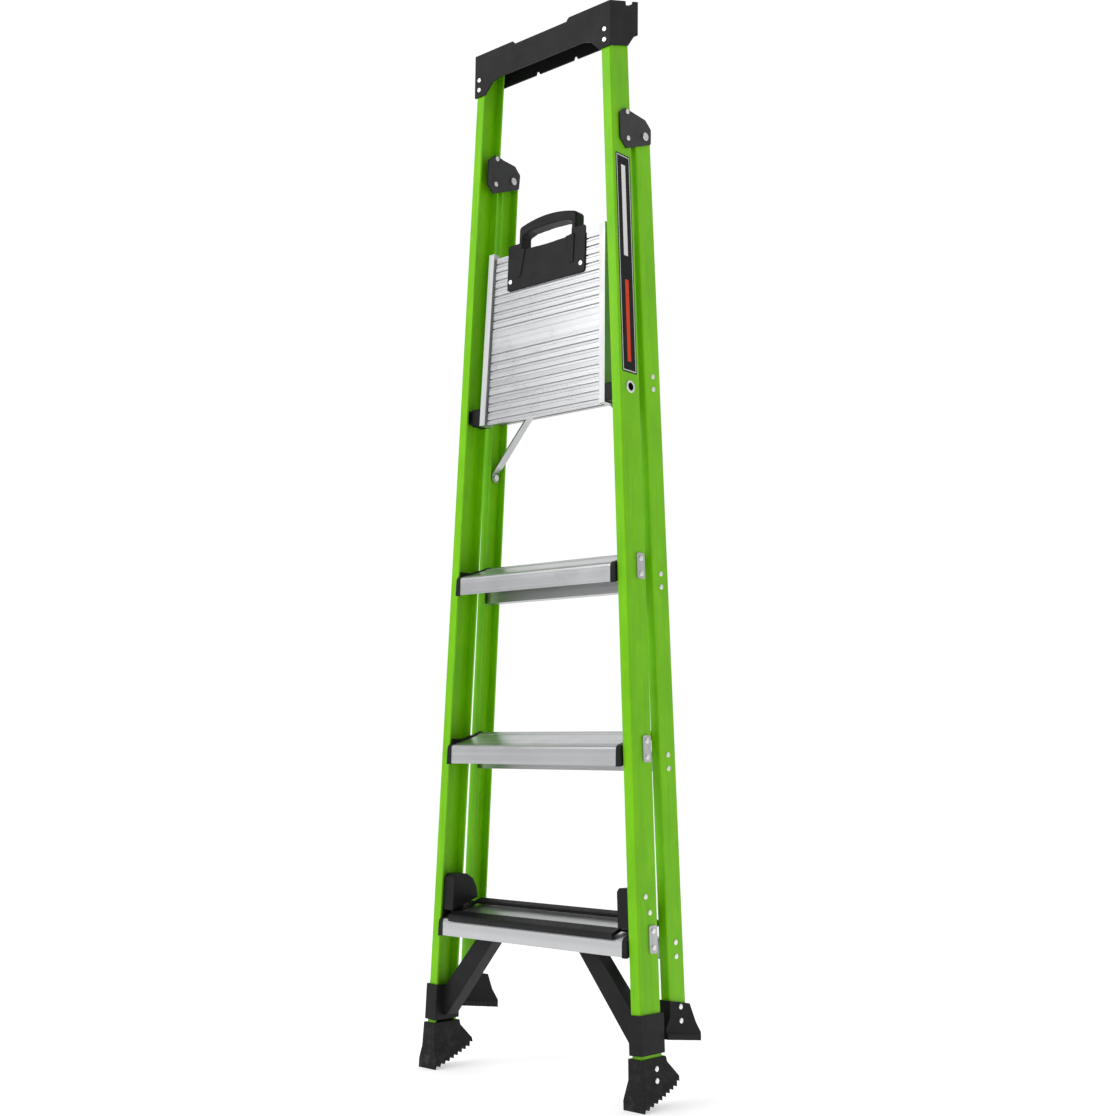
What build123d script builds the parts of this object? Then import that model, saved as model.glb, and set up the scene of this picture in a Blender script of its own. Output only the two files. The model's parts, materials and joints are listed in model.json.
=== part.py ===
from build123d import *

import os
from math import atan, atan2, cos, degrees, hypot, radians, sin, tan

os.makedirs("parts", exist_ok=True)

# ---------------------------------------------------------------------------
# Driving dimensions, in millimetres and degrees.
# Frame: +X to the climber's right, +Y away from the climber, +Z up, origin on
# the floor in the middle of the folded ladder. "Depth" is counted backwards
# from the front face of the front rails.
# ---------------------------------------------------------------------------
FRONT_Y = -69.2  # place of that front face
HEIGHT = 1880.0  # front edge of the top cap
FOOT_HALF_WIDTH = 250.0  # outer face of a rail at floor level
TAPER = 0.04718  # each rail leans in by this much per millimetre of height
CLEAR = 0.3

STEP_SPACING = 304.8
FIRST_STEP = 261.5  # height of the lowest tread's rivet plates
STEP_COUNT = 3

RAIL_DEPTH, RAIL_FLANGE, RAIL_WALL = 52.0, 19.0, 3.6
RAIL_BOTTOM, RAIL_TOP = 16.0, 1868.0
REAR_DEPTH, REAR_FLANGE, REAR_WALL = 42.6, 17.0, 3.2
REAR_BOTTOM = 118.0

HINGE_DEPTH, HINGE_HEIGHT = 85.5, 1652.4
HINGE_PIN_R = 5.0
REAR_SPLAY = 0.46  # the rear legs stand off a little when folded
REAR_SWING = 26.0  # and swing back by this much more to open

PIVOT_DEPTH, PIVOT_HEIGHT = 25.5, 1180.0
PIVOT_TUBE_R, PIVOT_BORE_R = 8.5, 7.0
PLATFORM_LEAN = 1.6  # from upright, folded
PLATFORM_FRONT, PLATFORM_REAR = -23.0, 305.0  # along the deck from its pivot
PLATFORM_TOP, DECK_TOP, DECK_UNDER, PLATFORM_UNDER = 16.0, 11.0, 3.0, -11.0
PLATFORM_HALF_FRONT, PLATFORM_HALF_REAR = 151.4, 142.3
SIDE_RAIL_WIDTH = 13.0
RIB_PITCH = 15.6

STRUT_FOOT_DEPTH, STRUT_FOOT_HEIGHT = 96.0, 1077.0
STRUT_DROP = 52.0  # strut's upper pivot below the platform's pivot line
STRUT_WIDTH, STRUT_THICK = 18.0, 3.0
STRUT_PIN_SKIN = 1.0  # its lower pin ends this far inside the rail's outer face

REAR_BRACE_HEIGHTS = (241.0, 546.0, 852.0, 1199.0)
BRACE_DEPTH, BRACE_HEIGHT, BRACE_WALL = 26.0, 33.0, 2.2

RIVET_R, RIVET_HEAD_R, RIVET_HEAD = 2.4, 4.6, 1.8
HOLE_R = RIVET_R + 0.1

# ---------------------------------------------------------------------------
# Worked out from the driving dimensions
# ---------------------------------------------------------------------------
RAIL_LEAN = degrees(atan(TAPER))


def half_width(z):
    """Outer face of a rail from the middle plane, at height z."""
    return FOOT_HALF_WIDTH - TAPER * z


def rise(z):
    """Distance along a leaning rail for a height z."""
    return z * hypot(1, TAPER)


def turned(y, z, angle):
    """The point (y, z) turned about the X axis by an angle in degrees."""
    a = radians(angle)
    return y * cos(a) - z * sin(a), y * sin(a) + z * cos(a)


# The ladder stands open when a rear sole meets the floor line of the front sole.
REAR_SOLE_DEPTH, REAR_SOLE_HEIGHT = 103.8, 97.5
swing_y, swing_z = turned(REAR_SOLE_DEPTH - HINGE_DEPTH, REAR_SOLE_HEIGHT - HINGE_HEIGHT, REAR_SWING)
OPEN_TILT = degrees(atan2(HINGE_HEIGHT + swing_z, HINGE_DEPTH + swing_y + 7.0))
PLATFORM_SWING = 90.0 - PLATFORM_LEAN - OPEN_TILT


def strut_pivot_error(along):
    """How much nearer the two strut pivots are when folded than when open."""
    drop_y, drop_z = cos(radians(PLATFORM_LEAN)), -sin(radians(PLATFORM_LEAN))
    arm_y = along * sin(radians(PLATFORM_LEAN)) + STRUT_DROP * drop_y
    arm_z = along * cos(radians(PLATFORM_LEAN)) + STRUT_DROP * drop_z
    open_y, open_z = turned(arm_y, arm_z, -PLATFORM_SWING)
    foot_y, foot_z = STRUT_FOOT_DEPTH - HINGE_DEPTH, STRUT_FOOT_HEIGHT - HINGE_HEIGHT
    back_y, back_z = turned(foot_y, foot_z, REAR_SWING)
    folded = hypot(
        PIVOT_DEPTH + arm_y - STRUT_FOOT_DEPTH, PIVOT_HEIGHT + arm_z - STRUT_FOOT_HEIGHT
    )
    opened = hypot(
        PIVOT_DEPTH + open_y - HINGE_DEPTH - back_y, PIVOT_HEIGHT + open_z - HINGE_HEIGHT - back_z
    )
    return folded - opened


def solve(function, low, high):
    """The root of a rising function, by halving."""
    while high - low > 1e-6:
        middle = (low + high) / 2
        if function(middle) > 0:
            high = middle
        else:
            low = middle
    return (low + high) / 2


STRUT_ALONG = solve(strut_pivot_error, 40.0, 250.0)

# ---------------------------------------------------------------------------
# Planes
# ---------------------------------------------------------------------------
# Across a right-hand rail: local X outwards, Y backwards, normal up the rail.
RAIL = Plane(origin=(FOOT_HALF_WIDTH, FRONT_Y, 0), x_dir=(1, 0, TAPER), z_dir=(-TAPER, 0, 1))
# On its outer web: local X backwards, Y up the rail, normal outwards.
WEB = Plane(origin=(FOOT_HALF_WIDTH, FRONT_Y, 0), x_dir=(0, 1, 0), z_dir=(1, 0, TAPER))
# Facing the climber: local X to the right, Y up, normal forwards.
FACE = Plane(origin=(0, FRONT_Y, 0), x_dir=(1, 0, 0), z_dir=(0, -1, 0))
# The middle plane: local X backwards, Y up, normal to the right.
SIDE = Plane(origin=(0, FRONT_Y, 0), x_dir=(0, 1, 0), z_dir=(1, 0, 0))

hinge_point = Location((0, FRONT_Y + HINGE_DEPTH, HINGE_HEIGHT))
SPLAYED = hinge_point * Location((0, 0, 0), (REAR_SPLAY, 0, 0)) * hinge_point.inverse()


def splayed(plane):
    """A plane of the front frame, carried over to the rear frame."""
    return Plane(SPLAYED * plane.location)


REAR_RAIL = splayed(RAIL)
REAR_WEB = splayed(WEB)
REAR_SIDE = splayed(SIDE)

lean = radians(PLATFORM_LEAN)
PIVOT = (0, FRONT_Y + PIVOT_DEPTH, PIVOT_HEIGHT)
# Through the platform's pivot: local X along the deck, Y out of its top face.
DECK_SIDE = Plane(origin=PIVOT, x_dir=(0, sin(lean), cos(lean)), z_dir=(1, 0, 0))
# The deck seen from above: local X to the right, Y along the deck.
DECK = Plane(origin=PIVOT, x_dir=(1, 0, 0), z_dir=(0, -cos(lean), sin(lean)))

tilt = radians(OPEN_TILT)


def tread_plane(index):
    """Local X backwards along the tread's top, Y out of that top."""
    z = FIRST_STEP + index * STEP_SPACING + 6.0
    return Plane(origin=(0, FRONT_Y + 4.0, z), x_dir=(0, cos(tilt), sin(tilt)), z_dir=(1, 0, 0))


def step_height(index):
    return FIRST_STEP + index * STEP_SPACING


def save(part, name):
    part.label = name
    export_step(part, f"parts/{name}.step")


def save_pair(part, name):
    """Write a right-hand piece and its mirror image."""
    save(part, f"{name}_right")
    save(mirror(part, about=Plane.YZ), f"{name}_left")


# ---------------------------------------------------------------------------
# Rivet places: (depth, height) on the outer web of a right-hand rail
# ---------------------------------------------------------------------------
TREAD_RIVETS = [(36.0, step_height(i) + dz) for i in range(STEP_COUNT) for dz in (-13.0, 13.0)]
CUE_RIVETS = [(22.0, 329.6), (31.7, 303.9)]
HINGE_RIVETS = [(38.0, 1634.2), (38.0, 1684.0)]
FOOT_RIVETS = [(31.6, 43.9), (31.6, 62.2)]
REAR_BRACE_RIVETS = [(HINGE_DEPTH, z + dz) for z in REAR_BRACE_HEIGHTS for dz in (-11.25, 11.25)]
REAR_FOOT_RIVETS = [(HINGE_DEPTH + 2.0, 128.0), (HINGE_DEPTH + 2.0, 150.0)]
CAP_RIVETS = [(156.0, 1809.5), (156.0, 1829.0)]  # on the front face: (x, height)
HANDLE_RIVETS = [(-86.0, 241.0), (86.0, 241.0)]  # on the deck: (x, along)
STRUT_FOOT = (STRUT_FOOT_DEPTH, STRUT_FOOT_HEIGHT)
HINGE = (HINGE_DEPTH, HINGE_HEIGHT)
DECK_PIVOT = (PIVOT_DEPTH, PIVOT_HEIGHT)


def on_web(points):
    """Heights turned into distances along the leaning rail."""
    return [(depth, rise(z)) for depth, z in points]


def drill(plane, points, radius, start, depth):
    """Cut round holes inwards from a plane set off by start."""
    with BuildSketch(plane.offset(start)) as holes:
        with Locations(*points):
            Circle(radius)
    extrude(holes.sketch, amount=-depth, mode=Mode.SUBTRACT)


def prism(plane, points, amount, radius=0.0, mode=Mode.ADD):
    """A polygon drawn on a plane, its corners rounded, then extruded."""
    with BuildSketch(plane) as outline:
        with BuildLine():
            Polyline(*points, close=True)
        make_face()
        if radius:
            fillet(outline.vertices(), radius)
    extrude(outline.sketch, amount=amount, mode=mode)


def rivet_group(plane, points, base, grip):
    """Domed rivets whose heads sit on a plane set off by base."""
    outwards = Axis((0, 0, 0), tuple(plane.z_dir))
    with BuildPart() as group:
        with BuildSketch(plane.offset(base - grip)):
            with Locations(*points):
                Circle(RIVET_R)
        extrude(amount=grip)
        with BuildSketch(plane.offset(base)):
            with Locations(*points):
                Circle(RIVET_HEAD_R)
        extrude(amount=RIVET_HEAD)
        crowns = group.faces().filter_by(outwards).group_by(outwards)[-1]
        fillet(crowns.edges(), 1.2)
    return group.part


def shaft(x_start, x_end, radius, mode=Mode.ADD, at=(0.0, 0.0)):
    """A cylinder along X at a place (depth, height)."""
    with BuildSketch(SIDE.offset(x_start)) as circle:
        with Locations(at):
            Circle(radius)
    extrude(circle.sketch, amount=x_end - x_start, mode=mode)


# ---------------------------------------------------------------------------
# Fibreglass rails: C-channels, open towards the middle of the ladder
# ---------------------------------------------------------------------------
def channel(plane, near, depth, flange, wall, bottom, top):
    """A channel from a front face at depth near, between two heights."""
    with BuildPart() as rail:
        with BuildSketch(plane.offset(rise(bottom))) as section:
            with Locations((-flange / 2, near + depth / 2)):
                Rectangle(flange, depth)
            fillet(section.vertices().sort_by(Axis.X)[-2:], 2.5)
            with Locations((-(flange + wall) / 2, near + depth / 2)):
                Rectangle(flange - wall, depth - 2 * wall, mode=Mode.SUBTRACT)
        extrude(amount=rise(top - bottom))
    return rail.part


def below_sole(lift, plane):
    """Cut away everything below a line that rises backwards with the front sole."""
    far = lift + 120.0 * tan(tilt)
    prism(plane, [(-20, lift - 60), (-20, lift - 20 * tan(tilt)), (120, far), (120, lift - 60)], -80,
          mode=Mode.SUBTRACT)


with BuildPart() as front_rail:
    add(channel(RAIL, 0.0, RAIL_DEPTH, RAIL_FLANGE, RAIL_WALL, 2.0, RAIL_TOP))
    below_sole(RAIL_BOTTOM, WEB.offset(10.0))
    web_rivets = on_web(TREAD_RIVETS + CUE_RIVETS + HINGE_RIVETS + FOOT_RIVETS)
    drill(WEB, web_rivets, HOLE_R, 1.0, RAIL_WALL + 2.0)
    drill(FACE, CAP_RIVETS, HOLE_R, 1.0, RAIL_WALL + 2.0)
    shaft(
        half_width(PIVOT_HEIGHT) - 8.0,
        half_width(PIVOT_HEIGHT) + 4.0,
        PIVOT_TUBE_R + 0.1,
        Mode.SUBTRACT,
        DECK_PIVOT,
    )
save_pair(front_rail.part, "front_rail")

REAR_HALF_DEPTH = REAR_DEPTH / 2
REAR_NEAR = HINGE_DEPTH - REAR_HALF_DEPTH
with BuildPart() as rear_rail:
    add(
        channel(
            REAR_RAIL, REAR_NEAR, REAR_DEPTH, REAR_FLANGE, REAR_WALL, REAR_BOTTOM,
            HINGE_HEIGHT + REAR_HALF_DEPTH,
        )
    )
    # the top end is round about the hinge, so that it swings clear of the front rail
    with BuildSketch(REAR_WEB.offset(2.0)):
        with Locations((HINGE_DEPTH, rise(HINGE_HEIGHT))):
            Circle(REAR_HALF_DEPTH)
        with Locations((HINGE_DEPTH, rise(HINGE_HEIGHT) / 2)):
            Rectangle(REAR_DEPTH + 2.0, rise(HINGE_HEIGHT))
    extrude(amount=-REAR_FLANGE - 4.0, mode=Mode.INTERSECT)
    drill(REAR_WEB, on_web(REAR_BRACE_RIVETS + REAR_FOOT_RIVETS), HOLE_R, 1.0, REAR_WALL + 2.0)
    hinge_x = half_width(HINGE_HEIGHT)
    shaft(
        hinge_x - 8.0, hinge_x + 4.0, HINGE_PIN_R + 0.05, Mode.SUBTRACT, HINGE
    )
    strut_x = half_width(STRUT_FOOT_HEIGHT)
    shaft(strut_x - 8.0, strut_x - STRUT_PIN_SKIN + 0.2, 4.1, Mode.SUBTRACT, STRUT_FOOT)
save_pair(rear_rail.part, "rear_rail")

# ---------------------------------------------------------------------------
# Treads: aluminium extrusions, level when the ladder stands open
# ---------------------------------------------------------------------------
TREAD_DEPTH, SKIRT_DROP, TREAD_WALL = 76.0, 29.5, 2.3
TREAD_INSET = 29.7  # from the rails' outer faces


def tread_outline(crown, lip):
    """The section of a tread whose top lies at crown, with a rear lip."""
    under = min(crown, -0.2) - 2.4
    run = (SKIRT_DROP + crown - 4.5) * tan(tilt)  # the skirt is parallel to the rails
    return [
        (-11 - run, -SKIRT_DROP),
        (-11, crown - 4.5),
        (-9.2, crown - 1.6),
        (-6, crown),
        (7, crown),
        (8, min(crown, -0.2)),
        (59, min(crown, -0.2)),
        (60, crown),
        (TREAD_DEPTH - 2, crown),
        (TREAD_DEPTH, crown - 2),
        (TREAD_DEPTH, lip),
        (TREAD_DEPTH - TREAD_WALL, lip),
        (TREAD_DEPTH - TREAD_WALL, under),
        (TREAD_WALL - 9.0, under),
        (TREAD_WALL - 11.0, under - 2.5),
        (TREAD_WALL - 11.0 - run, TREAD_WALL - SKIRT_DROP),
        (0.5 - run, TREAD_WALL - SKIRT_DROP),
        (0.5 - run, -SKIRT_DROP),
    ]


def tread(index, crown):
    """One tread, with two stiffening ribs under its top."""
    half_length = half_width(step_height(index)) - TREAD_INSET
    plane = tread_plane(index)
    under = min(crown, -0.2) - 2.4
    with BuildPart() as step:
        with BuildSketch(plane):
            with BuildLine():
                Polyline(*tread_outline(crown, -13.0), close=True)
            make_face()
            with Locations((22, under - 4.0), (50, under - 4.0)):
                Rectangle(2.0, 8.4)
        extrude(amount=half_length, both=True)
        # fine anti-slip grooves along the nosing and the rear strip
        if crown > 0:
            with BuildSketch(plane):
                with Locations(*[(p, crown) for p in (-3, 0, 3, 64, 67, 70)]):
                    Rectangle(1.0, 0.9)
            extrude(amount=half_length + 1.0, both=True, mode=Mode.SUBTRACT)
    return step.part


TREAD_CROWN, CUE_CROWN = 0.8, -3.0
CAP_THICK, END_INSET = 9.5, 20.2


def tread_end_cap(index, crown):
    """A moulded end cap with a spigot that fills the rail's channel."""
    z = step_height(index)
    start = half_width(z) - TREAD_INSET
    run = (SKIRT_DROP + crown - 4.3) * tan(tilt)
    with BuildPart() as cap:
        with BuildSketch(tread_plane(index).offset(start)):
            with BuildLine():
                Polyline(
                    (-12 - run, -SKIRT_DROP - 1),
                    (-12, crown - 5.3),
                    (-9.8, crown - 1.4),
                    (-5.5, crown + 1),
                    (TREAD_DEPTH - 1, crown + 1),
                    (TREAD_DEPTH + 1, crown - 1.3),
                    (TREAD_DEPTH + 1, -14),
                    (60, -14),
                    (2 - run, -SKIRT_DROP - 1),
                    close=True,
                )
            make_face()
        extrude(amount=CAP_THICK + 6.0)
        split(bisect_by=WEB.offset(-END_INSET), keep=Keep.BOTTOM)
        with BuildSketch(WEB.offset(-RAIL_WALL - 0.1)):
            with Locations((RAIL_DEPTH / 2, rise(z))):
                Rectangle(RAIL_DEPTH - 2 * RAIL_WALL - 1.2, 34)
        extrude(amount=RAIL_WALL + 0.1 - END_INSET - 2.0)
        drill(WEB, on_web(TREAD_RIVETS[2 * index : 2 * index + 2]), HOLE_R, 0.0, 13.0)
    return cap.part


for index in range(STEP_COUNT):
    crown = CUE_CROWN if index == 0 else TREAD_CROWN
    save(tread(index, crown), f"tread_{index + 1}")
    save_pair(tread_end_cap(index, crown), f"tread_{index + 1}_end_cap")

PLATE_THICK = 3.0
with BuildPart() as tread_plates:
    with BuildSketch(WEB):
        with Locations(*on_web([(36.0, step_height(i)) for i in range(STEP_COUNT)])):
            RectangleRounded(20, 44, 4)
    extrude(amount=PLATE_THICK)
    drill(WEB, on_web(TREAD_RIVETS), HOLE_R, PLATE_THICK + 1.0, PLATE_THICK + 2.0)
save_pair(tread_plates.part, "tread_plates")

tread_rivets = rivet_group(WEB, on_web(TREAD_RIVETS), PLATE_THICK, PLATE_THICK + 12.0)
with BuildPart() as all_tread_rivets:
    add(tread_rivets)
    mirror(tread_rivets, about=Plane.YZ)
save(all_tread_rivets.part, "tread_rivets")

# ---------------------------------------------------------------------------
# Front feet: rubber boots with a toothed sole
# ---------------------------------------------------------------------------
SLEEVE = 3.5  # wall of the mouldings that wrap the rails
FIT = 0.15  # gap between a moulding and the rail in it
# Facing the climber, square to a right-hand rail: local X outwards, Y up the rail.
RAIL_FRONT = Plane(origin=RAIL.origin, x_dir=(1, 0, TAPER), z_dir=(0, -1, 0))
REAR_RAIL_FRONT = splayed(RAIL_FRONT)


def channel_void(plane, near, depth, flange, wall, bottom, top):
    """The room that a channel needs inside a moulding."""
    with BuildPart(mode=Mode.PRIVATE) as room:
        with BuildSketch(plane.offset(rise(bottom))) as section:
            with Locations((-flange / 2, near + depth / 2)):
                Rectangle(flange + 2 * FIT, depth + 2 * FIT)
            with Locations((-(flange + wall) / 2 - FIT, near + depth / 2)):
                Rectangle(flange - wall, depth - 2 * wall - 2 * FIT, mode=Mode.SUBTRACT)
        extrude(amount=rise(top - bottom))
    return room


def sole_teeth(count, pitch, height):
    """Points along the front sole, from its toe backwards."""
    points = []
    for i in range(count):
        for along, lift in ((i * pitch, 0.0), ((i + 0.5) * pitch, height)):
            depth = -7.0 + along * cos(tilt) - lift * sin(tilt)
            points.append((depth, along * sin(tilt) + lift * cos(tilt)))
    return points


with BuildPart() as front_foot:
    boot_side = [(-7, 25), (-5, 79), (57, 79), (60, 70), (90, 44), (90, 36)]
    prism(SIDE.offset(FOOT_HALF_WIDTH + 12.0), boot_side + sole_teeth(9, 11.5, 7.0)[::-1], -62.0)
    boot_front = [(-35, -6), (9, -6), (9, 16), (SLEEVE, 38), (SLEEVE, 82), (-24, 82), (-24, 48), (-35, 16)]
    with BuildSketch(RAIL_FRONT.offset(30.0)):
        with BuildLine():
            Polyline(*boot_front, close=True)
        make_face()
    extrude(amount=-150.0, mode=Mode.INTERSECT)
    with BuildPart(mode=Mode.PRIVATE) as boot_room:
        add(channel_void(RAIL, 0.0, RAIL_DEPTH, RAIL_FLANGE, RAIL_WALL, 2.0, 95.0).part)
        below_sole(RAIL_BOTTOM - 0.2, WEB.offset(10.0))
    add(boot_room.part, mode=Mode.SUBTRACT)
    drill(WEB, on_web(FOOT_RIVETS), HOLE_R, 12.0, 12.0 + RAIL_WALL + 8.5)
save_pair(front_foot.part, "front_foot")

foot_rivets = rivet_group(WEB, on_web(FOOT_RIVETS), SLEEVE, SLEEVE + RAIL_WALL + 8.0)
with BuildPart() as front_foot_rivets:
    add(foot_rivets)
    mirror(foot_rivets, about=Plane.YZ)
save(front_foot_rivets.part, "front_foot_rivets")

# ---------------------------------------------------------------------------
# Corner braces: a sleeve round each front rail with a bar up to the first tread
# ---------------------------------------------------------------------------
SLEEVE_BOTTOM, SLEEVE_TOP, SLEEVE_INSET = 84.5, 146.5, 23.0
BAR_FRONT, BAR_REAR, BAR_TOP = 14.4, 41.8, 257.5
bar_outline = [
    (77.9, BAR_TOP),
    (118.5, BAR_TOP),
    (144.0, 228.3),
    (216.6, 144.8),
    (223.5, 141.0),
    (223.5, 92.0),
    (213.0, 92.0),
    (98.0, 233.0),
]
with BuildPart() as corner_brace:
    with BuildSketch(RAIL.offset(rise(SLEEVE_BOTTOM))):
        with Locations(((SLEEVE - SLEEVE_INSET) / 2, RAIL_DEPTH / 2)):
            Rectangle(SLEEVE + SLEEVE_INSET, RAIL_DEPTH + 2 * SLEEVE)
    extrude(amount=SLEEVE_TOP - SLEEVE_BOTTOM)
    prism(FACE.offset(-BAR_FRONT), bar_outline, BAR_FRONT - BAR_REAR)
    with BuildSketch(FACE.offset(-BAR_REAR)):
        with BuildLine():
            Polyline(*(bar_outline[:4] + [(214.0, 100.0)] + bar_outline[7:]), close=True)
        make_face()
        offset(amount=-3.5, mode=Mode.REPLACE)
    extrude(amount=20.0, mode=Mode.SUBTRACT)
    with BuildSketch(RAIL.offset(rise(SLEEVE_BOTTOM) - 1.0)):
        with Locations((-RAIL_FLANGE / 2, RAIL_DEPTH / 2)):
            Rectangle(RAIL_FLANGE + 2 * FIT, RAIL_DEPTH + 2 * FIT)
    extrude(amount=SLEEVE_TOP - SLEEVE_BOTTOM + 4.0, mode=Mode.SUBTRACT)
save_pair(corner_brace.part, "corner_brace")

# ---------------------------------------------------------------------------
# Rear feet: a moulding round each rear rail, with a rubber pad under it
# ---------------------------------------------------------------------------
PAD_THICK = 10.0
sole_y, sole_z = turned(REAR_SOLE_DEPTH - HINGE_DEPTH, REAR_SOLE_HEIGHT - HINGE_HEIGHT, -REAR_SPLAY)
REAR_SOLE_SLOPE = tan(radians(OPEN_TILT - REAR_SWING - REAR_SPLAY))


def rear_sole(depth, lift=0.0):
    """A point on the rear sole, or on a line above it."""
    return depth, HINGE_HEIGHT + sole_z + REAR_SOLE_SLOPE * (depth - HINGE_DEPTH - sole_y) + lift


TOE, HEEL = 47.0, 135.5
with BuildPart() as rear_foot:
    shoe_side = [(60, 162.1), (112.9, 152.6), (HEEL, 104.5), rear_sole(HEEL, PAD_THICK)]
    shoe_side += [rear_sole(TOE, PAD_THICK), (TOE, 119), (60, 137)]
    prism(REAR_SIDE.offset(half_width(100.0) + 12.0), shoe_side, -60.0)
    shoe_front = [(-31, 80), (7, 80), (7, 105), (SLEEVE, 121)]
    shoe_front += [(SLEEVE, 170), (-24, 170), (-24, 125), (-31, 105)]
    with BuildSketch(REAR_RAIL_FRONT.offset(-20.0)):
        with BuildLine():
            Polyline(*shoe_front, close=True)
        make_face()
    extrude(amount=-150.0, mode=Mode.INTERSECT)
    with BuildPart(mode=Mode.PRIVATE) as shoe_room:
        add(
            channel_void(
                REAR_RAIL, REAR_NEAR, REAR_DEPTH, REAR_FLANGE, REAR_WALL, REAR_BOTTOM - 0.2, 175.0
            ).part
        )
    add(shoe_room.part, mode=Mode.SUBTRACT)
    drill(REAR_WEB, on_web(REAR_FOOT_RIVETS), HOLE_R, 12.0, 12.0 + REAR_WALL + 8.5)
save_pair(rear_foot.part, "rear_foot")

with BuildPart() as rear_pad:
    pad_side = [rear_sole(TOE), rear_sole(TOE, PAD_THICK), rear_sole(HEEL, PAD_THICK), rear_sole(HEEL)]
    prism(REAR_SIDE.offset(half_width(100.0) + 7.5), pad_side, -39.0)
    # shallow cross grooves give the pad its grip
    with BuildSketch(REAR_SIDE.offset(half_width(100.0) + 9.0)):
        for i in range(8):
            with Locations(Location(rear_sole(TOE + 9.0 + 10.0 * i), OPEN_TILT - REAR_SWING)):
                Rectangle(3.0, 3.6)
    extrude(amount=-44.0, mode=Mode.SUBTRACT)
save_pair(rear_pad.part, "rear_foot_pad")

shoe_rivets = rivet_group(REAR_WEB, on_web(REAR_FOOT_RIVETS), SLEEVE, SLEEVE + REAR_WALL + 8.0)
with BuildPart() as rear_foot_rivets:
    add(shoe_rivets)
    mirror(shoe_rivets, about=Plane.YZ)
save(rear_foot_rivets.part, "rear_foot_rivets")

# ---------------------------------------------------------------------------
# Rear braces: pressed channels across the rear frame, riveted to both rails
# ---------------------------------------------------------------------------
TAB_THICK, TAB_DEPTH, TAB_HEIGHT = 2.5, 24.0, 33.0
TOP_BRACE_SET_BACK, TOP_BRACE_DEPTH = 9.0, 8.8  # leaves room for the folded struts
TOP_BRACE_HEIGHT = 39.4  # stays just under the opened deck


def rear_brace(z, near, depth, height):
    """A channel with its back to the climber, and a tab at each end."""
    section = [
        (near, z - height / 2),
        (near, z + height / 2),
        (near + depth, z + height / 2),
        (near + depth, z + height / 2 - BRACE_WALL),
        (near + BRACE_WALL, z + height / 2 - BRACE_WALL),
        (near + BRACE_WALL, z - height / 2 + BRACE_WALL),
        (near + depth, z - height / 2 + BRACE_WALL),
        (near + depth, z - height / 2),
    ]
    with BuildPart() as half_brace:
        prism(REAR_SIDE, section, half_width(z))
        split(bisect_by=REAR_WEB.offset(-REAR_WALL - TAB_THICK / 2), keep=Keep.BOTTOM)
        with BuildSketch(REAR_WEB.offset(-REAR_WALL)) as tab:
            with Locations((HINGE_DEPTH, rise(z))):
                RectangleRounded(TAB_DEPTH, TAB_HEIGHT, 3)
        extrude(tab.sketch, amount=-TAB_THICK)
        places = [(HINGE_DEPTH, z - 11.25), (HINGE_DEPTH, z + 11.25)]
        drill(REAR_WEB, on_web(places), HOLE_R, 0.0, REAR_WALL + TAB_THICK + 3.0)
    with BuildPart() as brace:
        add(half_brace.part)
        mirror(half_brace.part, about=Plane.YZ)
    return brace.part


for index, z in enumerate(REAR_BRACE_HEIGHTS):
    near, depth, height = HINGE_DEPTH - BRACE_DEPTH / 2, BRACE_DEPTH, BRACE_HEIGHT
    if index == len(REAR_BRACE_HEIGHTS) - 1:
        near, depth, height = HINGE_DEPTH + TOP_BRACE_SET_BACK, TOP_BRACE_DEPTH, TOP_BRACE_HEIGHT
    save(rear_brace(z, near, depth, height), f"rear_brace_{index + 1}")

brace_rivets = rivet_group(REAR_WEB, on_web(REAR_BRACE_RIVETS), 0.0, REAR_WALL + TAB_THICK)
with BuildPart() as rear_brace_rivets:
    add(brace_rivets)
    mirror(brace_rivets, about=Plane.YZ)
save(rear_brace_rivets.part, "rear_brace_rivets")

# ---------------------------------------------------------------------------
# Rear hinge: two plates a side, riveted to the front rail, with a pin through
# ---------------------------------------------------------------------------
HINGE_PLATE, HINGE_RELIEF, HINGE_INSET = 4.0, 1.0, 20.2
PLATE_BACK = HINGE_INSET + HINGE_PLATE
CRANK, CRANK_LINE = 1.2, 53.0
PLATE_LOW, PLATE_HIGH, PLATE_CORNER_R = 1600.0, 1720.0, 5.0
plate_outline = [(32, 1689.4), (17.8, 1677), (17.5, 1629.2), (34.2, 1615.1)]
plate_outline += [(103.2, 1643), (104.8, 1671.7), (89.4, 1685.2)]


def plate_zone(start, end):
    """The plate's full height between two depths."""
    return on_web([(start, PLATE_LOW), (end, PLATE_LOW), (end, PLATE_HIGH), (start, PLATE_HIGH)])


with BuildPart() as hinge_plate_outer:
    prism(WEB, on_web(plate_outline), HINGE_PLATE, PLATE_CORNER_R)
    prism(WEB, plate_zone(56, 120), HINGE_RELIEF, mode=Mode.SUBTRACT)
    drill(WEB, on_web(HINGE_RIVETS), HOLE_R, HINGE_PLATE + 1.0, HINGE_PLATE + 2.0)
    shaft(hinge_x - 8.0, hinge_x + 9.0, HINGE_PIN_R + 0.1, Mode.SUBTRACT, HINGE)
save_pair(hinge_plate_outer.part, "hinge_plate_outer")

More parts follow.
